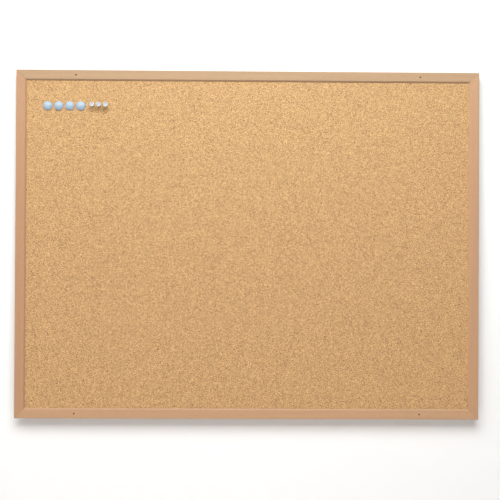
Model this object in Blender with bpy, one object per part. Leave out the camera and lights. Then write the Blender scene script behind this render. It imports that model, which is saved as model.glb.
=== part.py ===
"""Framed cork notice board for a classroom wall, with four dome tacks and three push pins.

Metres, +Z up. The board hangs upright: +X runs to its right and its front faces -Y. The origin
is the centre of the back face, which lies flat against the wall.
"""

import math

import bmesh
import bpy
from mathutils import Vector

MM = 0.001
GAP = 0.3 * MM  # left between pieces that touch

# Whole board
BOARD_WIDTH = 1200 * MM
BOARD_HEIGHT = 900 * MM
FRAME_DEPTH = 18 * MM

# Layers, from the front to the back
CORK_THICKNESS = 3 * MM
CORE_THICKNESS = 6 * MM
BACKING_THICKNESS = 3 * MM

# Frame moulding, measured inwards from its outer edge
FACE_WIDTH = 23 * MM  # flat front face
CHAMFER_WIDTH = 3.5 * MM  # slope from the face down to the cork
CHAMFER_DEPTH = 4 * MM
PANEL_REBATE = 21 * MM  # wall beside the cork and the core
BACKING_REBATE = 16 * MM  # wall beside the backing board
OUTER_ROUND = 1.5 * MM
EDGE_ROUND = 0.6 * MM
ARC_STEPS = 2

# Wall-screw holes, through the top and bottom rails
SCREW_HOLE_RADIUS = 1.75 * MM
SCREW_SPACING = 892 * MM
SCREW_INSET = 12.7 * MM

# V-nails that pull the mitres together, two at each corner
V_NAIL_INSETS = (7 * MM, 13 * MM)
V_NAIL_ARM = 4.5 * MM
V_NAIL_SHEET = 0.5 * MM
V_NAIL_HEIGHT = 10 * MM

# Brads that hold the backing board, with how many lie along each side and their pitch
BRAD_INSET = 18.5 * MM
BRADS_ACROSS = 6
BRADS_UP = 4
BRAD_PITCH_ACROSS = 210 * MM
BRAD_PITCH_UP = 235 * MM
BRAD_HEAD_RADIUS = 1.4 * MM
BRAD_SHANK_RADIUS = 0.7 * MM
BRAD_LENGTH = 12 * MM

# Dome tacks: a plastic cap over a steel disc with a spike
TACK_COUNT = 4
TACK_FIRST_X = -519.3 * MM
TACK_PITCH = 28.6 * MM
TACK_Z = 357.3 * MM
CAP_RADIUS = 12 * MM
CAP_RIM = 1.4 * MM
CAP_DOME = 5.2 * MM
DISC_RADIUS = 10.4 * MM
DISC_THICKNESS = 0.8 * MM
SPIKE_RADIUS = 0.55 * MM
SPIKE_DEPTH = 8 * MM

# Push pins: a waisted plastic grip on a steel needle
PUSH_PIN_COUNT = 3
PUSH_PIN_FIRST_X = -403.6 * MM
PUSH_PIN_PITCH = 17.6 * MM
PUSH_PIN_Z = 360.3 * MM
PUSH_PIN_STANDOFF = 1.2 * MM
GRIP_LENGTH = 13 * MM
GRIP_HEAD_RADIUS = 6.3 * MM
GRIP_FOOT_RADIUS = 4 * MM
GRIP_WAIST_RADIUS = 2.5 * MM
GRIP_DISH_RADIUS = 4.4 * MM
GRIP_DISH_DEPTH = 0.8 * MM
NEEDLE_RADIUS = 0.6 * MM
NEEDLE_IN_GRIP = 7 * MM
NEEDLE_TIP = 2.5 * MM

# Depths in front of the back face
BACKING_FRONT = BACKING_THICKNESS
CORE_BACK = BACKING_FRONT + GAP
CORE_FRONT = CORE_BACK + CORE_THICKNESS
CORK_BACK = CORE_FRONT + GAP
CORK_FRONT = CORK_BACK + CORK_THICKNESS
LIP_BACK = CORK_FRONT + GAP
RAIL_WIDTH = FACE_WIDTH + CHAMFER_WIDTH

FACING_FRONT = (math.pi / 2, 0, 0)  # turns a piece's own +Z to the board's front
FACING_BACK = (-math.pi / 2, 0, 0)


def clear_scene():
    for obj in list(bpy.data.objects):
        bpy.data.objects.remove(obj)


def plain_material(name, colour, roughness, metallic=0.0):
    material = bpy.data.materials.new(name)
    material.use_nodes = True
    shader = material.node_tree.nodes["Principled BSDF"]
    shader.inputs["Base Color"].default_value = (*colour, 1)
    shader.inputs["Roughness"].default_value = roughness
    shader.inputs["Metallic"].default_value = metallic
    return material


def filleted(corners):
    """Points of an outline given as (a, b, radius) corners. The first and last stay sharp."""
    points = [Vector(corners[0][:2])]
    for before, corner, after in zip(corners, corners[1:], corners[2:]):
        points += rounded_corner(before[:2], corner[:2], after[:2], corner[2])
    return points + [Vector(corners[-1][:2])]


def rounded_corner(before, corner, after, radius):
    corner = Vector(corner)
    if radius == 0:
        return [corner]
    to_before = (Vector(before) - corner).normalized()
    to_after = (Vector(after) - corner).normalized()
    half_angle = to_before.angle(to_after) / 2
    start = corner + to_before * radius / math.tan(half_angle)
    centre = corner + (to_before + to_after).normalized() * radius / math.sin(half_angle)
    turn = math.pi - 2 * half_angle
    if (corner - start).cross(Vector(after) - corner) < 0:
        turn = -turn
    first = start - centre
    points = []
    for step in range(ARC_STEPS + 1):
        angle = turn * step / ARC_STEPS
        cos, sin = math.cos(angle), math.sin(angle)
        points.append(centre + Vector((first.x * cos - first.y * sin, first.x * sin + first.y * cos)))
    return points


def new_object(name, shape, material=None):
    """An object made from a bmesh, with its faces turned outwards."""
    bmesh.ops.recalc_face_normals(shape, faces=shape.faces)
    mesh = bpy.data.meshes.new(name)
    shape.to_mesh(mesh)
    shape.free()
    if material:
        mesh.materials.append(material)
    obj = bpy.data.objects.new(name, mesh)
    bpy.context.scene.collection.objects.link(obj)
    return obj


def turned(name, corners, sides, material=None):
    """A piece turned about its own Z, from (radius, height, fillet) corners."""
    shape = bmesh.new()
    verts = [shape.verts.new((radius, 0, height)) for radius, height in filleted(corners)]
    edges = [shape.edges.new(pair) for pair in zip(verts, verts[1:])]
    bmesh.ops.spin(
        shape, geom=verts + edges, cent=(0, 0, 0), axis=(0, 0, 1),
        angle=2 * math.pi, steps=sides, use_merge=True,
    )
    bmesh.ops.remove_doubles(shape, verts=shape.verts, dist=1e-6)
    obj = new_object(name, shape, material)
    obj.data.shade_smooth()
    obj.data.set_sharp_from_angle(angle=math.radians(35))
    return obj


def bridged(name, first_end, second_end, material=None):
    """A closed piece whose two ends are outlines with the same number of points."""
    shape = bmesh.new()
    ends = [[shape.verts.new(point) for point in end] for end in (first_end, second_end)]
    for end in ends:
        shape.faces.new(end)
    count = len(first_end)
    for i in range(count):
        j = (i + 1) % count
        shape.faces.new((ends[0][i], ends[0][j], ends[1][j], ends[1][i]))
    return new_object(name, shape, material)


def slab(name, width, height, back, front, material):
    """A flat sheet parallel to the wall, between two depths in front of it."""
    outline = [(-width / 2, -height / 2), (width / 2, -height / 2)]
    outline += [(width / 2, height / 2), (-width / 2, height / 2)]
    back_end = [(x, -back, z) for x, z in outline]
    front_end = [(x, -front, z) for x, z in outline]
    return bridged(name, back_end, front_end, material)


def cutter_group(name):
    """A collection for cutters, which shape other pieces and aren't pieces themselves."""
    group = bpy.data.collections.new(name)
    bpy.context.scene.collection.children.link(group)
    return group


def move_to_group(cutter, group):
    bpy.context.scene.collection.objects.unlink(cutter)
    group.objects.link(cutter)
    cutter.hide_render = True
    cutter.display_type = "WIRE"


def cut(obj, group):
    modifier = obj.modifiers.new("cuts", "BOOLEAN")
    modifier.operation = "DIFFERENCE"
    modifier.solver = "EXACT"
    modifier.operand_type = "COLLECTION"
    modifier.collection = group


# Frame


def moulding_outline():
    """The moulding's section as (inset from the outer edge, depth from the back) points."""
    slope_end = FRAME_DEPTH - CHAMFER_DEPTH
    start = (BACKING_REBATE / 2, 0, 0)
    corners = [
        start,
        (0, 0, EDGE_ROUND),
        (0, FRAME_DEPTH, OUTER_ROUND),
        (FACE_WIDTH, FRAME_DEPTH, EDGE_ROUND),
        (RAIL_WIDTH, slope_end, EDGE_ROUND / 2),
        (RAIL_WIDTH, LIP_BACK, 0),
        (PANEL_REBATE, LIP_BACK, 0),
        (PANEL_REBATE, CORE_BACK, 0),
        (BACKING_REBATE, CORE_BACK, 0),
        (BACKING_REBATE, 0, 0),
        start,
    ]
    return filleted(corners)[:-1]


def mitred_rail(name, length, outward, distance, material):
    """One side of the frame: turned about Y so that its outer edge faces outward."""
    back_off = GAP / math.sqrt(2)  # opens each mitre by GAP in all
    outline = moulding_outline()
    ends = []
    for side in (-1, 1):
        ends.append([(side * (length / 2 - inset - back_off), -depth, -inset) for inset, depth in outline])
    rail = bridged(name, ends[0], ends[1], material)
    rail.rotation_euler = (0, outward, 0)
    rail.location = (math.sin(outward) * distance, 0, math.cos(outward) * distance)
    return rail


def build_frame(material, cutters):
    half_width = BOARD_WIDTH / 2
    half_height = BOARD_HEIGHT / 2
    sides = [
        ("top_rail", BOARD_WIDTH, 0, half_height),
        ("right_stile", BOARD_HEIGHT, math.pi / 2, half_width),
        ("bottom_rail", BOARD_WIDTH, math.pi, half_height),
        ("left_stile", BOARD_HEIGHT, -math.pi / 2, half_width),
    ]
    for name, length, outward, distance in sides:
        cut(mitred_rail(name, length, outward, distance, material), cutters)


def build_screw_holes(cutters):
    """Plain holes for wall screws, two in the top rail and two in the bottom rail."""
    overshoot = 2 * MM
    corners = [
        (0, -overshoot, 0),
        (SCREW_HOLE_RADIUS, -overshoot, 0),
        (SCREW_HOLE_RADIUS, FRAME_DEPTH + overshoot, 0),
        (0, FRAME_DEPTH + overshoot, 0),
    ]
    for end in (-1, 1):
        for side in (-1, 1):
            hole = turned(f"screw_hole_{end}_{side}", corners, 24)
            hole.rotation_euler = FACING_FRONT
            hole.location = (end * SCREW_SPACING / 2, 0, side * (BOARD_HEIGHT / 2 - SCREW_INSET))
            move_to_group(hole, cutters)


# Mitre fasteners


def v_nail_outline(inset, corner, clearance):
    """A right-angled V in the plane of the board, its point towards the board's middle."""
    half = V_NAIL_SHEET / 2 + clearance
    near = inset - half
    far = inset + half
    tip = inset - V_NAIL_ARM - clearance
    outline = [(far, far), (tip, far), (tip, near), (near, near), (near, tip), (far, tip)]
    end, side = corner
    return [(end * (BOARD_WIDTH / 2 - x), side * (BOARD_HEIGHT / 2 - z)) for x, z in outline]


def build_v_nails(material, cutters):
    set_below = GAP  # driven just under the back face
    corners = {"bottom_left": (-1, -1), "top_left": (-1, 1), "bottom_right": (1, -1), "top_right": (1, 1)}
    for where, corner in corners.items():
        for number, inset in enumerate(V_NAIL_INSETS, start=1):
            name = f"v_nail_{where}_{number}"
            outline = v_nail_outline(inset, corner, 0)
            end_depth = set_below + V_NAIL_HEIGHT
            bridged(
                name, [(x, -set_below, z) for x, z in outline],
                [(x, -end_depth, z) for x, z in outline], material,
            )
            outline = v_nail_outline(inset, corner, GAP)
            slot = bridged(
                "slot_" + name, [(x, MM, z) for x, z in outline],
                [(x, -end_depth - GAP, z) for x, z in outline],
            )
            move_to_group(slot, cutters)


# Back panel


def panel_size(rebate):
    """Width and height of a sheet that lies in a rebate with its gap all round."""
    edge = 2 * (rebate + GAP)
    return BOARD_WIDTH - edge, BOARD_HEIGHT - edge


def build_sheets(materials, panel_cutters, frame_cutters):
    cork = slab("cork_sheet", *panel_size(PANEL_REBATE), CORK_BACK, CORK_FRONT, materials["cork"])
    core = slab("core_panel", *panel_size(PANEL_REBATE), CORE_BACK, CORE_FRONT, materials["core"])
    backing = slab("backing_board", *panel_size(BACKING_REBATE), 0, BACKING_FRONT, materials["backing"])
    cut(cork, panel_cutters)
    cut(core, panel_cutters)
    cut(backing, frame_cutters)


def brad_corners(clearance):
    """A brad's outline from the middle of its head to its point, or a hole that clears it."""
    head = BRAD_HEAD_RADIUS + clearance
    shank = BRAD_SHANK_RADIUS + clearance
    head_top = -GAP if clearance == 0 else MM
    head_bottom = -GAP - 0.7 * MM - clearance
    return [
        (0, head_top, 0),
        (head, head_top, 0),
        (head, head_bottom, 0),
        (shank, head_bottom - 0.4 * MM, 0),
        (shank, -BRAD_LENGTH + 1.5 * MM, 0),
        (0, -BRAD_LENGTH - clearance, 0),
    ]


def brad_places():
    """(name, x, z) of each brad around the backing board."""
    places = []
    for number in range(BRADS_ACROSS):
        x = (number - (BRADS_ACROSS - 1) / 2) * BRAD_PITCH_ACROSS
        z = BOARD_HEIGHT / 2 - BRAD_INSET
        places += [(f"brad_top_{number + 1}", x, z), (f"brad_bottom_{number + 1}", x, -z)]
    for number in range(BRADS_UP):
        z = (number - (BRADS_UP - 1) / 2) * BRAD_PITCH_UP
        x = BOARD_WIDTH / 2 - BRAD_INSET
        places += [(f"brad_left_{number + 1}", -x, z), (f"brad_right_{number + 1}", x, z)]
    return places


def build_brads(material, cutters):
    for name, x, z in brad_places():
        brad = turned(name, brad_corners(0), 8, material)
        hole = turned("hole_" + name, brad_corners(GAP), 8)
        for obj in (brad, hole):
            obj.rotation_euler = FACING_BACK
            obj.location = (x, 0, z)
        move_to_group(hole, cutters)


# Tacks and push pins


def pull_out_axis(name, x, z, standoff):
    """An empty on a pin's own axis, at the foot of its head, with +Z to the front."""
    axis = bpy.data.objects.new(name, None)
    axis.rotation_euler = FACING_FRONT
    axis.location = (x, -CORK_FRONT - standoff, z)
    bpy.context.scene.collection.objects.link(axis)
    return axis


def pierce(name, axis, radius, depth, cutters):
    """The hole that a spike makes in the cork and the core."""
    corners = [(0, MM, 0), (radius + GAP, MM, 0), (radius + GAP, -depth - GAP, 0), (0, -depth - GAP, 0)]
    hole = turned(name, corners, 12)
    hole.parent = axis
    move_to_group(hole, cutters)


def cap_corners():
    """A domed cap, hollowed underneath for the steel disc."""
    sphere = (CAP_RADIUS**2 + CAP_DOME**2) / (2 * CAP_DOME)
    spread = math.asin(CAP_RADIUS / sphere)
    steps = 6
    corners = []
    for step in range(steps):
        angle = spread * step / steps
        height = CAP_RIM + CAP_DOME - sphere * (1 - math.cos(angle))
        corners.append((sphere * math.sin(angle), height, 0))
    seat = DISC_THICKNESS + 2 * GAP
    return corners + [
        (CAP_RADIUS, CAP_RIM, 0.7 * MM),
        (CAP_RADIUS, 0, 0.3 * MM),
        (DISC_RADIUS + GAP, 0, 0),
        (DISC_RADIUS + GAP, seat, 0),
        (0, seat, 0),
    ]


def spiked_disc_corners():
    """A flat steel disc with a pointed spike, as one stamping."""
    return [
        (0, GAP + DISC_THICKNESS, 0),
        (DISC_RADIUS, GAP + DISC_THICKNESS, 0),
        (DISC_RADIUS, GAP, 0),
        (SPIKE_RADIUS, GAP, 0),
        (SPIKE_RADIUS, 1.5 * MM - SPIKE_DEPTH, 0),
        (0, -SPIKE_DEPTH, 0),
    ]


def build_tacks(materials, cutters):
    for number in range(1, TACK_COUNT + 1):
        x = TACK_FIRST_X + (number - 1) * TACK_PITCH
        axis = pull_out_axis(f"tack_{number}", x, TACK_Z, GAP)
        cap = turned(f"tack_cap_{number}", cap_corners(), 28, materials["cap"])
        spike = turned(f"tack_spike_{number}", spiked_disc_corners(), 16, materials["steel"])
        cap.parent = axis
        spike.parent = axis
        pierce(f"tack_hole_{number}", axis, SPIKE_RADIUS, SPIKE_DEPTH, cutters)


def grip_corners():
    """A waisted grip with a broad dished head, bored underneath for the needle."""
    bore = NEEDLE_RADIUS + GAP
    return [
        (0, GRIP_LENGTH - GRIP_DISH_DEPTH, 0),
        (GRIP_DISH_RADIUS - 1.5 * MM, GRIP_LENGTH - GRIP_DISH_DEPTH, 0.8 * MM),
        (GRIP_DISH_RADIUS, GRIP_LENGTH, 0.5 * MM),
        (GRIP_HEAD_RADIUS, GRIP_LENGTH, 0.9 * MM),
        (GRIP_HEAD_RADIUS, GRIP_LENGTH - 2.2 * MM, 0.6 * MM),
        (GRIP_WAIST_RADIUS, GRIP_LENGTH - 4.8 * MM, 1.5 * MM),
        (GRIP_WAIST_RADIUS, 3 * MM, 1.2 * MM),
        (GRIP_FOOT_RADIUS, 1.6 * MM, 0.5 * MM),
        (GRIP_FOOT_RADIUS, 0, 0.5 * MM),
        (bore, 0, 0),
        (bore, NEEDLE_IN_GRIP + GAP, 0),
        (0, NEEDLE_IN_GRIP + GAP, 0),
    ]


def needle_corners():
    depth = PUSH_PIN_STANDOFF + SPIKE_DEPTH
    return [
        (0, NEEDLE_IN_GRIP, 0),
        (NEEDLE_RADIUS, NEEDLE_IN_GRIP, 0),
        (NEEDLE_RADIUS, NEEDLE_TIP - depth, 0),
        (0, -depth, 0),
    ]


def build_push_pins(materials, cutters):
    for number in range(1, PUSH_PIN_COUNT + 1):
        x = PUSH_PIN_FIRST_X + (number - 1) * PUSH_PIN_PITCH
        axis = pull_out_axis(f"push_pin_{number}", x, PUSH_PIN_Z, PUSH_PIN_STANDOFF)
        grip = turned(f"push_pin_grip_{number}", grip_corners(), 20, materials["grip"])
        needle = turned(f"push_pin_needle_{number}", needle_corners(), 12, materials["steel"])
        grip.parent = axis
        needle.parent = axis
        depth = PUSH_PIN_STANDOFF + SPIKE_DEPTH
        pierce(f"push_pin_hole_{number}", axis, NEEDLE_RADIUS, depth, cutters)


def main():
    clear_scene()
    materials = {
        "frame": plain_material("beech_foil", (0.62, 0.38, 0.22), 0.45),
        "cork": plain_material("cork", (0.66, 0.42, 0.19), 0.9),
        "core": plain_material("softboard", (0.50, 0.38, 0.25), 0.95),
        "backing": plain_material("hardboard", (0.24, 0.13, 0.06), 0.6),
        "cap": plain_material("pale_blue_plastic", (0.55, 0.68, 0.86), 0.3),
        "grip": plain_material("ice_blue_plastic", (0.68, 0.76, 0.86), 0.15),
        "steel": plain_material("plated_steel", (0.70, 0.70, 0.70), 0.3, 1.0),
        "nail": plain_material("bright_nail_steel", (0.55, 0.55, 0.56), 0.4, 1.0),
    }
    frame_cutters = cutter_group("frame_cutters")
    panel_cutters = cutter_group("panel_cutters")
    build_frame(materials["frame"], frame_cutters)
    build_screw_holes(frame_cutters)
    build_v_nails(materials["nail"], frame_cutters)
    build_brads(materials["nail"], frame_cutters)
    build_sheets(materials, panel_cutters, frame_cutters)
    build_tacks(materials, panel_cutters)
    build_push_pins(materials, panel_cutters)


main()
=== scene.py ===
"""Looks for a framed cork notice board with four dome tacks and three push pins.

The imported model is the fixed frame: the board hangs upright, its front faces -Y, +X runs to its
right, and the origin is the centre of its back face. Metres.
"""

import math

import bmesh
import bpy
from mathutils import Matrix, Vector


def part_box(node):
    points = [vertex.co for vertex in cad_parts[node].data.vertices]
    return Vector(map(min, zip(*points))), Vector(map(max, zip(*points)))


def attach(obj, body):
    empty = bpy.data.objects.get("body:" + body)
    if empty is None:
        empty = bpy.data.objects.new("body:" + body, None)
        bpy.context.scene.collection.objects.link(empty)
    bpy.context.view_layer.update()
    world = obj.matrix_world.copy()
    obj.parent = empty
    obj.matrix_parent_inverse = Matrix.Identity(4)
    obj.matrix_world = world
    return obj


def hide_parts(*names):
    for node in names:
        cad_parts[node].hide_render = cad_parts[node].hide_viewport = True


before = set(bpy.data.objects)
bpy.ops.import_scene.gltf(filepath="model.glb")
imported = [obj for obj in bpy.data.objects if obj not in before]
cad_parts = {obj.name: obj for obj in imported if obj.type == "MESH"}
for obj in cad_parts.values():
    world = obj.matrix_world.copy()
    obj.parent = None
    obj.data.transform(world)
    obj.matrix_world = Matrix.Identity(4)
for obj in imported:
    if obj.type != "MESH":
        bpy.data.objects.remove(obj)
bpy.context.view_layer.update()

MM = 0.001

# Camera: in front of the board, a little to the left of its middle
CAMERA_PLACE = (-0.0273, -2.5325, -0.0322)
CAMERA_LENS = 70
CAMERA_TURN = math.radians(0.759)  # to the right
CAMERA_TILT = math.radians(0.429)  # upwards
CAMERA_ROLL = math.radians(0.290)  # clockwise as the picture shows it

# Stage
WALL_GAP = 11 * MM  # between the wall and the board's back
FLOOR_HEIGHT = -1.4
ROOM_HALF_WIDTH = 4.5
ROOM_HEIGHT = 5.0

# Frame moulding, measured inwards from its outer edge, as in the CAD
FACE_WIDTH = 23 * MM
FACE_FALL = 1.2 * MM  # the face slopes gently down towards the cork
CHAMFER_END = 13.6 * MM  # in front of the back face
PANEL_REBATE = 21 * MM
BACKING_REBATE = 16 * MM
LIP_BACK = 12.9 * MM
CORE_BACK = 3.3 * MM
OUTER_ROUND = 1.5 * MM
EDGE_ROUND = 0.6 * MM
SCREW_HOLE_RADIUS = 1.75 * MM
SCREW_HOLE_LIP = 0.35 * MM
SCREW_SPACING = 892 * MM
SCREW_INSET = 12.7 * MM
CUTTER_OVERRUN = MM  # how far the hole's cutter reaches past both faces

# Dome tacks and push pins
CAP_RIM = 1.4 * MM
CAP_SEAT_DEPTH = 1.4 * MM
CAP_SEAT_RADIUS = 10.7 * MM
GRIP_FOOT_RADIUS = 4 * MM
GRIP_WAIST_RADIUS = 2.5 * MM
GRIP_DISH_RADIUS = 4.4 * MM
GRIP_DISH_DEPTH = 0.8 * MM
GRIP_BORE_RADIUS = 0.9 * MM
GRIP_BORE_DEPTH = 7.3 * MM

# Smoothness of the new pieces
ARC_STEPS = 6
DOME_STEPS = 18
SEGMENTS = 72
SHARP_ANGLE = math.radians(35)
ON_AXIS = 1e-6  # a radius below this is a point on the axis


# Shapes


def filleted(corners):
    """Points of an outline given as (a, b, radius) corners. The first and last stay sharp."""
    points = [Vector(corners[0][:2])]
    for before, corner, after in zip(corners, corners[1:], corners[2:]):
        points += rounded_corner(Vector(before[:2]), Vector(corner[:2]), Vector(after[:2]), corner[2])
    return points + [Vector(corners[-1][:2])]


def rounded_corner(before, corner, after, radius):
    if radius == 0:
        return [corner]
    to_before = (before - corner).normalized()
    to_after = (after - corner).normalized()
    half_angle = to_before.angle(to_after) / 2
    reach = radius / math.tan(half_angle)
    centre = corner + (to_before + to_after).normalized() * radius / math.sin(half_angle)
    first = corner + to_before * reach - centre
    last = corner + to_after * reach - centre
    turn = first.angle_signed(last)
    steps = [turn * step / ARC_STEPS for step in range(ARC_STEPS + 1)]
    return [centre + Matrix.Rotation(-angle, 2) @ first for angle in steps]


def new_object(name, shape):
    """An object from a bmesh, smooth except at its sharp edges."""
    bmesh.ops.recalc_face_normals(shape, faces=shape.faces)
    mesh = bpy.data.meshes.new(name)
    shape.to_mesh(mesh)
    shape.free()
    mesh.shade_smooth()
    mesh.set_sharp_from_angle(angle=SHARP_ANGLE)
    made = bpy.data.objects.new(name, mesh)
    bpy.context.scene.collection.objects.link(made)
    return made


def turned(name, corners, centre):
    """A solid of revolution about a line along Y, from (radius, height to the front) corners."""
    shape = bmesh.new()
    rings = []
    for radius, height in filleted(corners):
        count = 1 if radius < ON_AXIS else SEGMENTS
        angles = [2 * math.pi * step / count for step in range(count)]
        rings.append(
            [shape.verts.new((radius * math.cos(a), -height, radius * math.sin(a))) for a in angles]
        )
    for ring, following in zip(rings, rings[1:]):
        join_rings(shape, ring, following)
    bmesh.ops.translate(shape, verts=shape.verts, vec=centre)
    return new_object(name, shape)


def join_rings(shape, ring, following):
    for step in range(SEGMENTS):
        after = (step + 1) % SEGMENTS
        corners = [ring[step % len(ring)], ring[after % len(ring)]]
        corners += [following[after % len(following)], following[step % len(following)]]
        shape.faces.new(dict.fromkeys(corners))


def moulding_outline(depth, width):
    """The moulding's section as (inset from the outer edge, distance to the front) points."""
    start = (BACKING_REBATE / 2, 0, 0)
    corners = [
        start,
        (0, 0, EDGE_ROUND),
        (0, depth, OUTER_ROUND),
        (FACE_WIDTH, depth - FACE_FALL, EDGE_ROUND),
        (width, CHAMFER_END, 0),
        (width, LIP_BACK, 0),
        (PANEL_REBATE, LIP_BACK, 0),
        (PANEL_REBATE, CORE_BACK, 0),
        (BACKING_REBATE, CORE_BACK, 0),
        (BACKING_REBATE, 0, 0),
        start,
    ]
    return filleted(corners)[:-1]


def mitred_moulding(name, outward):
    """One side of the frame, between its two mitres. outward is +X, -X, +Z or -Z."""
    low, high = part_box(name)
    along = Vector((outward.z, 0, outward.x))
    edge = max(low.dot(outward), high.dot(outward))
    half_length = abs((high - low).dot(along)) / 2
    width = abs((high - low).dot(outward))
    shape = bmesh.new()
    ends = []
    for side in (-1, 1):
        ends.append([
            shape.verts.new(
                outward * (edge - inset) + along * side * (half_length - inset) - Vector((0, depth, 0))
            )
            for inset, depth in moulding_outline(-low.y, width)
        ])
    count = len(ends[0])
    for step in range(count):
        after = (step + 1) % count
        shape.faces.new((ends[0][step], ends[0][after], ends[1][after], ends[1][step]))
    shape.faces.new(ends[0])
    shape.faces.new(ends[1])
    return new_object(name + "_moulding", shape)


def screw_height():
    """How far above, and below, the board's middle the screw holes are."""
    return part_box("top_rail")[1].z - SCREW_INSET


def drill(moulding, height, depth):
    """Cuts a rail's two wall-screw holes, each with a softened lip."""
    lip = SCREW_HOLE_RADIUS + SCREW_HOLE_LIP
    corners = [
        (0, -CUTTER_OVERRUN, 0),
        (SCREW_HOLE_RADIUS, -CUTTER_OVERRUN, 0),
        (SCREW_HOLE_RADIUS, depth - 2 * SCREW_HOLE_LIP, SCREW_HOLE_LIP),
        (lip, depth, 0),
        (lip, depth + CUTTER_OVERRUN, 0),
        (0, depth + CUTTER_OVERRUN, 0),
    ]
    for side in (-1, 1):
        cutter = turned("screw_cutter", corners, Vector((side * SCREW_SPACING / 2, 0, height)))
        cut = moulding.modifiers.new("screw_hole", "BOOLEAN")
        cut.object = cutter
        graph = bpy.context.evaluated_depsgraph_get()
        mesh = bpy.data.meshes.new_from_object(moulding.evaluated_get(graph), depsgraph=graph)
        moulding.modifiers.clear()
        moulding.data = mesh
        bpy.data.objects.remove(cutter)


# Nodes


def new_material(name):
    material = bpy.data.materials.new(name)
    material.use_nodes = True
    material.node_tree.nodes.clear()
    return material


def add(tree, kind, **inputs):
    """A shader node of a kind, with a value or a link for each input named."""
    node = tree.nodes.new("ShaderNode" + kind)
    for name, value in inputs.items():
        connect(tree, node.inputs[name.replace("_", " ")], value)
    return node


def connect(tree, socket, value):
    if isinstance(value, bpy.types.NodeSocket):
        tree.links.new(value, socket)
    elif socket.type == "RGBA":
        socket.default_value = (*value, 1)
    else:
        socket.default_value = value


def maths(tree, operation, *values):
    node = tree.nodes.new("ShaderNodeMath")
    node.operation = operation
    for socket, value in zip(node.inputs, values):
        connect(tree, socket, value)
    return node.outputs[0]


def vector_maths(tree, operation, *values):
    node = tree.nodes.new("ShaderNodeVectorMath")
    node.operation = operation
    for socket, value in zip(node.inputs, values):
        connect(tree, socket, value)
    return node.outputs[0]


def ramp(tree, factor, stops, interpolation="LINEAR"):
    """Colours, or greys, at places along a factor."""
    node = add(tree, "ValToRGB", Fac=factor)
    node.color_ramp.interpolation = interpolation
    elements = node.color_ramp.elements
    while len(elements) < len(stops):
        elements.new(0.5)
    for element, (place, colour) in zip(elements, stops):
        element.position = place
        element.color = (*colour, 1) if isinstance(colour, tuple) else (colour, colour, colour, 1)
    return node.outputs["Color"]


def blend(tree, mode, factor, first, second):
    node = tree.nodes.new("ShaderNodeMix")
    node.data_type = "RGBA"
    node.blend_type = mode
    node.clamp_result = False
    for index, value in ((0, factor), (6, first), (7, second)):
        connect(tree, node.inputs[index], value)
    return node.outputs[2]


def object_place(tree, scale=(1, 1, 1)):
    place = add(tree, "TexCoord").outputs["Object"]
    return add(tree, "Mapping", Vector=place, Scale=scale).outputs["Vector"]


def noise(tree, place, scale, detail=2.0, roughness=0.5):
    node = add(tree, "TexNoise", Vector=place, Scale=scale, Detail=detail, Roughness=roughness)
    return node.outputs["Fac"]


def voronoi(tree, place, size, feature="F1"):
    node = add(tree, "TexVoronoi", Vector=place, Scale=1 / size)
    node.feature = feature
    return node


def surface(tree, **inputs):
    shader = add(tree, "BsdfPrincipled", **inputs)
    add(tree, "OutputMaterial", Surface=shader.outputs["BSDF"])


def bump(tree, height, distance, strength=1.0, **inputs):
    node = add(tree, "Bump", Height=height, Distance=distance, Strength=strength, **inputs)
    return node.outputs["Normal"]


def times(colour, factor):
    return tuple(channel * factor for channel in colour)


# Materials


COARSE_GRANULE = 1.45 * MM
FINE_GRANULE = 0.8 * MM
CORK_COLOUR = (0.538, 0.335, 0.154)
DARK_BARK = (0.150, 0.062, 0.028)
RED_BARK = (0.345, 0.176, 0.080)
# Each side of the frame gets its own tone of the one beech foil: painted light and shade, lighter, darker
# or whiter where light and sheen fall differently on that side
PAINTED_LIGHT_FOIL_COLOURS = {
    "top_rail": (0.437, 0.284, 0.168),
    "bottom_rail": (0.485, 0.293, 0.167),
    "left_stile": (0.454, 0.257, 0.143),
    "right_stile": (0.478, 0.278, 0.158),
}
BARE_DARK = (0.30, 0.20, 0.12)
BARE_PALE = (0.42, 0.29, 0.18)
BARE_DEPTH = 0.2 * MM  # the foil wraps round to this far in front of the back face
# Painted shade: the screw holes' walls are coloured near black instead of bare board
BORE_PAINTED_SHADE = (0.015, 0.010, 0.008)
BORE_SHADE_REACH = 1.12  # radius of the painted shade in a screw hole, as a share of the hole's own radius
CAP_COLOUR = (0.345, 0.455, 0.575)
GRIP_COLOUR = (0.60, 0.65, 0.73)


def wobbled(tree, place, size, reach):
    """A place shifted by noise, so that cells take ragged outlines."""
    node = add(tree, "TexNoise", Vector=place, Scale=1 / size, Detail=2.0)
    centred = vector_maths(tree, "SUBTRACT", node.outputs["Color"], (0.5, 0.5, 0.5))
    shift = vector_maths(tree, "MULTIPLY", centred, (2 * reach, 2 * reach, 2 * reach))
    return vector_maths(tree, "ADD", place, shift)


def channel(tree, colour, index):
    return add(tree, "SeparateColor", Color=colour).outputs[index]


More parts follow.
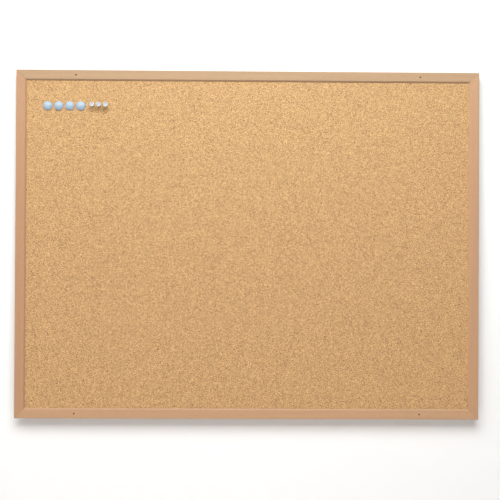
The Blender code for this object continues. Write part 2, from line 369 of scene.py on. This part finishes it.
def cork_material():
    """Pressed cork granules of two sizes, with darker bark among them and dark seams between."""
    material = new_material("pressed_cork")
    tree = material.node_tree
    place = wobbled(tree, object_place(tree), 1.2 * MM, 0.35 * MM)
    coarse = voronoi(tree, place, COARSE_GRANULE)
    fine = voronoi(tree, place, FINE_GRANULE)
    seam = voronoi(tree, place, COARSE_GRANULE, "DISTANCE_TO_EDGE").outputs["Distance"]
    broken = maths(tree, "GREATER_THAN", channel(tree, coarse.outputs["Color"], 1), 0.62)
    coarse_tone = channel(tree, coarse.outputs["Color"], 0)
    fine_tone = channel(tree, fine.outputs["Color"], 0)
    tone = blend(tree, "MIX", broken, coarse_tone, fine_tone)
    granule = ramp(
        tree, tone,
        [
            (0.0, DARK_BARK),
            (0.09, RED_BARK),
            (0.30, times(CORK_COLOUR, 0.90)),
            (0.70, times(CORK_COLOUR, 1.10)),
            (1.0, times(CORK_COLOUR, 1.56)),
        ],
    )
    seam_shade = ramp(tree, seam, [(0.0, 0.80), (0.10, 1.0)])
    grain_shade = ramp(tree, noise(tree, place, 2600.0, 2.0), [(0.3, 0.90), (0.7, 1.10)])
    patch_shade = ramp(tree, noise(tree, place, 45.0, 3.0, 0.6), [(0.3, 0.98), (0.7, 1.02)])
    colour = blend(tree, "MULTIPLY", 1.0, granule, seam_shade)
    colour = blend(tree, "MULTIPLY", 1.0, colour, grain_shade)
    colour = blend(tree, "MULTIPLY", 1.0, colour, patch_shade)
    relief = maths(tree, "MULTIPLY_ADD", tone, 0.5, maths(tree, "SMOOTH_MIN", seam, 0.2, 0.1))
    normal = bump(tree, relief, 0.25 * MM, 0.6)
    surface(tree, Base_Color=colour, Roughness=0.88, Normal=normal)
    return material


def inside_screw_hole(tree):
    """1 on the walls of the four screw holes and 0 elsewhere."""
    place = add(tree, "SeparateXYZ", Vector=object_place(tree))
    across = maths(tree, "SUBTRACT", maths(tree, "ABSOLUTE", place.outputs["X"]), SCREW_SPACING / 2)
    upwards = maths(tree, "SUBTRACT", maths(tree, "ABSOLUTE", place.outputs["Z"]), screw_height())
    offset = add(tree, "CombineXYZ", X=across, Y=upwards).outputs["Vector"]
    reach = add(tree, "VectorMath", Vector=offset)
    reach.operation = "LENGTH"
    return maths(tree, "LESS_THAN", reach.outputs["Value"], SCREW_HOLE_RADIUS * BORE_SHADE_REACH)


def foil_material(name, colour, along):
    """Printed beech foil: fine streaks and short flecks along the grain, bare board at the back, and
    near-black painted shade inside the screw holes.
    """
    material = new_material(name)
    tree = material.node_tree
    across = (0.15, 1, 1) if along == "X" else (1, 1, 0.15)
    place = object_place(tree, across)
    streak_scale = tuple(share ** 2 for share in across)
    streaks = noise(tree, object_place(tree, streak_scale), 700.0, 4.0, 0.65)
    bands = noise(tree, object_place(tree, streak_scale), 120.0, 2.0)
    flecks = voronoi(tree, place, 1.1 * MM)
    fleck = maths(tree, "GREATER_THAN", channel(tree, flecks.outputs["Color"], 0), 0.84)
    body = ramp(tree, streaks, [(0.25, times(colour, 0.94)), (0.75, times(colour, 1.06))])
    body = blend(tree, "MULTIPLY", 1.0, body, ramp(tree, bands, [(0.3, 0.97), (0.7, 1.03)]))
    spotted = blend(tree, "MIX", maths(tree, "MULTIPLY", fleck, 0.16), body, times(colour, 0.62))
    depth = add(tree, "SeparateXYZ", Vector=object_place(tree)).outputs["Y"]
    bare = maths(tree, "GREATER_THAN", depth, -BARE_DEPTH)
    fibres = noise(tree, object_place(tree), 900.0, 3.0)
    fibre = ramp(tree, fibres, [(0.3, BARE_DARK), (0.7, BARE_PALE)])
    shade = blend(tree, "MIX", bare, spotted, fibre)
    # Painted shade: near black on the walls of the screw holes
    painted_bore_shade = ramp(tree, fibres, [(0.3, times(BORE_PAINTED_SHADE, 0.6)), (0.7, times(BORE_PAINTED_SHADE, 1.4))])
    shade = blend(tree, "MIX", inside_screw_hole(tree), shade, painted_bore_shade)
    surface(tree, Base_Color=shade, Roughness=0.42, Normal=bump(tree, streaks, 0.03 * MM, 0.5))
    return material


def softboard_material():
    """Pale wood fibre, for the core behind the cork."""
    material = new_material("softboard_fibre")
    tree = material.node_tree
    fibres = noise(tree, object_place(tree, (1, 1, 3)), 600.0, 5.0, 0.7)
    colour = ramp(tree, fibres, [(0.3, (0.40, 0.29, 0.18)), (0.7, (0.58, 0.45, 0.31))])
    surface(tree, Base_Color=colour, Roughness=0.95, Normal=bump(tree, fibres, 0.4 * MM))
    return material


def hardboard_material():
    """Dark pressed fibre, for the back."""
    material = new_material("hardboard_back")
    tree = material.node_tree
    fibres = noise(tree, object_place(tree, (1, 1, 2.5)), 420.0, 5.0, 0.7)
    clouds = noise(tree, object_place(tree), 9.0, 3.0)
    colour = ramp(tree, fibres, [(0.3, (0.17, 0.088, 0.042)), (0.7, (0.30, 0.168, 0.085))])
    colour = blend(tree, "MULTIPLY", 1.0, colour, ramp(tree, clouds, [(0.3, 0.97), (0.7, 1.03)]))
    surface(tree, Base_Color=colour, Roughness=0.7, Normal=bump(tree, fibres, 0.15 * MM))
    return material


def plastic_material(name, colour, roughness, clearness=0.0):
    """Moulded plastic with a faint haze in its colour and its polish."""
    material = new_material(name)
    tree = material.node_tree
    haze = noise(tree, object_place(tree), 260.0, 3.0)
    shade = ramp(tree, haze, [(0.3, times(colour, 0.965)), (0.7, times(colour, 1.03))])
    polish = ramp(tree, haze, [(0.3, roughness * 0.85), (0.7, roughness * 1.15)])
    surface(tree, Base_Color=shade, Roughness=polish, IOR=1.5, Transmission_Weight=clearness)
    return material


def steel_material(name, colour, roughness):
    material = new_material(name)
    tree = material.node_tree
    scratches = noise(tree, object_place(tree, (1, 12, 1)), 900.0, 3.0)
    shade = ramp(tree, scratches, [(0.3, times(colour, 0.85)), (0.7, colour)])
    polish = ramp(tree, scratches, [(0.3, roughness * 0.8), (0.7, roughness * 1.2)])
    surface(tree, Base_Color=shade, Roughness=polish, Metallic=1.0)
    return material


# Pieces


def stand_in(made, node, body, material):
    """Puts a finished piece in the place of a CAD node."""
    made.data.materials.clear()
    made.data.materials.append(material)
    flat = made.modifiers.new("flat_faces", "WEIGHTED_NORMAL")
    flat.keep_sharp = True
    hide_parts(node)
    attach(made, body)


def build_frame():
    sides = {
        "top_rail": Vector((0, 0, 1)),
        "bottom_rail": Vector((0, 0, -1)),
        "left_stile": Vector((-1, 0, 0)),
        "right_stile": Vector((1, 0, 0)),
    }
    for name, outward in sides.items():
        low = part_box(name)[0]
        moulding = mitred_moulding(name, outward)
        # The foil tone given per side carries painted light and shade
        material = foil_material(name + "_foil", PAINTED_LIGHT_FOIL_COLOURS[name], "X" if outward.z else "Z")
        if outward.z:
            drill(moulding, outward.z * screw_height(), -low.y)
        stand_in(moulding, name, "board", material)


def cap_corners(radius, height):
    """A domed cap, hollowed underneath for its steel disc."""
    dome = height - CAP_RIM
    sphere = (radius**2 + dome**2) / (2 * dome)
    spread = math.asin(radius / sphere)
    corners = []
    for step in range(DOME_STEPS):
        angle = spread * step / DOME_STEPS
        corners.append((sphere * math.sin(angle), height - sphere * (1 - math.cos(angle)), 0))
    return corners + [
        (radius, CAP_RIM, 0.7 * MM),
        (radius, 0, 0.3 * MM),
        (CAP_SEAT_RADIUS, 0, 0),
        (CAP_SEAT_RADIUS, CAP_SEAT_DEPTH, 0),
        (0, CAP_SEAT_DEPTH, 0),
    ]


def grip_corners(radius, length):
    """A waisted grip with a broad dished head, bored underneath for its needle."""
    return [
        (0, length - GRIP_DISH_DEPTH, 0),
        (GRIP_DISH_RADIUS - 1.5 * MM, length - GRIP_DISH_DEPTH, 0.8 * MM),
        (GRIP_DISH_RADIUS, length, 0.5 * MM),
        (radius, length, 0.9 * MM),
        (radius, length - 2.2 * MM, 0.6 * MM),
        (GRIP_WAIST_RADIUS, length - 4.8 * MM, 1.5 * MM),
        (GRIP_WAIST_RADIUS, 3 * MM, 1.2 * MM),
        (GRIP_FOOT_RADIUS, 1.6 * MM, 0.5 * MM),
        (GRIP_FOOT_RADIUS, 0, 0.5 * MM),
        (GRIP_BORE_RADIUS, 0, 0),
        (GRIP_BORE_RADIUS, GRIP_BORE_DEPTH, 0),
        (0, GRIP_BORE_DEPTH, 0),
    ]


def build_turned(node, body, outline, material):
    """A smooth lathe-turned piece in the place and size of its CAD node."""
    low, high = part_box(node)
    centre = (low + high) / 2
    corners = outline((high.x - low.x) / 2, high.y - low.y)
    made = turned(node + "_turned", corners, Vector((centre.x, high.y, centre.z)))
    stand_in(made, node, body, material)


def build_pins():
    cap = plastic_material("pale_blue_plastic_look", CAP_COLOUR, 0.4)
    grip = plastic_material("ice_blue_plastic_look", GRIP_COLOUR, 0.12, 0.25)
    for number in (1, 2, 3, 4):
        build_turned(f"tack_cap_{number}", f"tack_{number}", cap_corners, cap)
    for number in (1, 2, 3):
        build_turned(f"push_pin_grip_{number}", f"push_pin_{number}", grip_corners, grip)


def dress_cad():
    """Better materials for the CAD nodes that stay in view."""
    looks = {
        "cork": cork_material(),
        "softboard": softboard_material(),
        "hardboard": hardboard_material(),
        "plated_steel": steel_material("plated_steel_look", (0.74, 0.73, 0.70), 0.22),
        "nail_steel": steel_material("nail_steel_look", (0.56, 0.55, 0.53), 0.38),
    }
    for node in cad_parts.values():
        for held in node.material_slots:
            held.material = looks.get(held.material.name, held.material)


# Stage


def one_sided_material(name, colour, glow=0.0):
    """Matt paint seen from the front, and clear seen from behind so that the board's back shows."""
    material = new_material(name)
    tree = material.node_tree
    grain = noise(tree, object_place(tree), 300.0)
    shade = ramp(tree, grain, [(0.3, times(colour, 0.99)), (0.7, colour)])
    paint = add(tree, "BsdfPrincipled", Base_Color=shade, Roughness=0.9)
    paint.inputs["Emission Color"].default_value = (1, 1, 1, 1)
    paint.inputs["Emission Strength"].default_value = glow
    chosen = add(tree, "MixShader", Fac=add(tree, "NewGeometry").outputs["Backfacing"])
    tree.links.new(paint.outputs[0], chosen.inputs[1])
    tree.links.new(add(tree, "BsdfTransparent").outputs[0], chosen.inputs[2])
    add(tree, "OutputMaterial", Surface=chosen.outputs[0])
    return material


def floor_material():
    material = new_material("pale_floor")
    tree = material.node_tree
    tone = ramp(tree, noise(tree, object_place(tree), 40.0, 4.0), [(0.3, 0.72), (0.7, 0.76)])
    surface(tree, Base_Color=tone, Roughness=0.7)
    return material


def stage_plane(name, corners, material):
    mesh = bpy.data.meshes.new(name)
    mesh.from_pydata(corners, [], [(0, 1, 2, 3)])
    mesh.materials.append(material)
    plane = bpy.data.objects.new(name, mesh)
    bpy.context.scene.collection.objects.link(plane)
    return plane


def upright_plane(name, start, end, low, high, material):
    """A vertical stage plane between two (x, y) points. It faces left of the way from start to end."""
    corners = [(*start, low), (*start, high), (*end, high), (*end, low)]
    plane = stage_plane(name, corners, material)
    plane.visible_diffuse = False
    plane.visible_shadow = False
    return plane


def build_stage():
    half, low, high = ROOM_HALF_WIDTH, FLOOR_HEIGHT, FLOOR_HEIGHT + ROOM_HEIGHT
    wall = one_sided_material("white_wall", (0.925, 0.955, 0.98))
    far = one_sided_material("far_walls", (0.55, 0.56, 0.57), 0.45)
    upright_plane("wall", (half, WALL_GAP), (-half, WALL_GAP), low, high, wall)
    upright_plane("wall_left", (-half, half), (-half, -half), low, high, far)
    upright_plane("wall_right", (half, -half), (half, half), low, high, far)
    upright_plane("wall_front", (-half, -half), (half, -half), low, high, far)
    floor = [(-half, -half, low), (half, -half, low), (half, half, low), (-half, half, low)]
    stage_plane("floor", floor, floor_material())
    build_hole_shades()


def build_hole_shades():
    """Near-black strips close behind the rails, so that no lit wall shows through the screw holes: painted
    shade, casting no shadow themselves.
    """
    dark = one_sided_material("hole_shade", (0.015, 0.012, 0.01))
    low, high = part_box("top_rail")
    reach = high.x - 20 * MM
    for side in (-1, 1):
        ends = sorted((side * low.z, side * high.z))
        upright_plane("hole_shade", (reach, MM), (-reach, MM), ends[0] + 2 * MM, ends[1] - 2 * MM, dark)


def area_light(name, place, aim, size, watts, colour):
    lamp = bpy.data.lights.new(name, "AREA")
    lamp.shape = "RECTANGLE"
    lamp.size, lamp.size_y = size
    lamp.energy = watts
    lamp.color = colour
    obj = bpy.data.objects.new(name, lamp)
    obj.location = place
    obj.rotation_euler = (Vector(aim) - Vector(place)).to_track_quat("-Z", "Y").to_euler()
    obj.visible_camera = False
    bpy.context.scene.collection.objects.link(obj)


# Name, place, the point it faces, size, watts and colour of each soft light. The last one lights the back.
LIGHTS = [
    ("far", (0, -2.6, 2.3), (0, 0, 0), (3.0, 1.6), 104, (0.98, 0.925, 0.875)),
    ("near", (0.1, -1.0, 1.35), (0, 0, 0.1), (1.3, 0.4), 11, (0.84, 1, 1)),
    ("low", (0, -1.7, -1.0), (0, 0, 0), (2.4, 0.4), 5.2, (1, 0.77, 0.66)),
    ("left_up", (-2.6, -2.1, 2.7), (0, 0, 0), (2.6, 2.6), 56, (1, 0.97, 0.945)),
    ("left_low", (-2.6, -2.6, 0.6), (0, 0, 0), (2.4, 2.4), 8, (1, 0.9, 0.83)),
    ("rear", (0.8, 2.6, 1.2), (0, 0, 0), (2.0, 2.0), 60, (1, 1, 1)),
]
WORLD_STRENGTH = 0.12


def build_lights():
    for light in LIGHTS:
        area_light(*light)
    world = bpy.data.worlds.new("studio")
    world.use_nodes = True
    backdrop = world.node_tree.nodes["Background"]
    backdrop.inputs["Color"].default_value = (1, 1, 1, 1)
    backdrop.inputs["Strength"].default_value = WORLD_STRENGTH
    bpy.context.scene.world = world


def build_camera():
    data = bpy.data.cameras.new("camera")
    data.lens = CAMERA_LENS
    camera = bpy.data.objects.new("camera", data)
    aimed = Matrix.Rotation(-CAMERA_TURN, 4, "Z") @ Matrix.Rotation(math.pi / 2 + CAMERA_TILT, 4, "X")
    camera.matrix_world = Matrix.Translation(CAMERA_PLACE) @ aimed @ Matrix.Rotation(CAMERA_ROLL, 4, "Z")
    bpy.context.scene.collection.objects.link(camera)
    bpy.context.scene.camera = camera


build_camera()
build_lights()
build_stage()
build_frame()
build_pins()
dress_cad()
bpy.context.scene.view_settings.view_transform = "Standard"
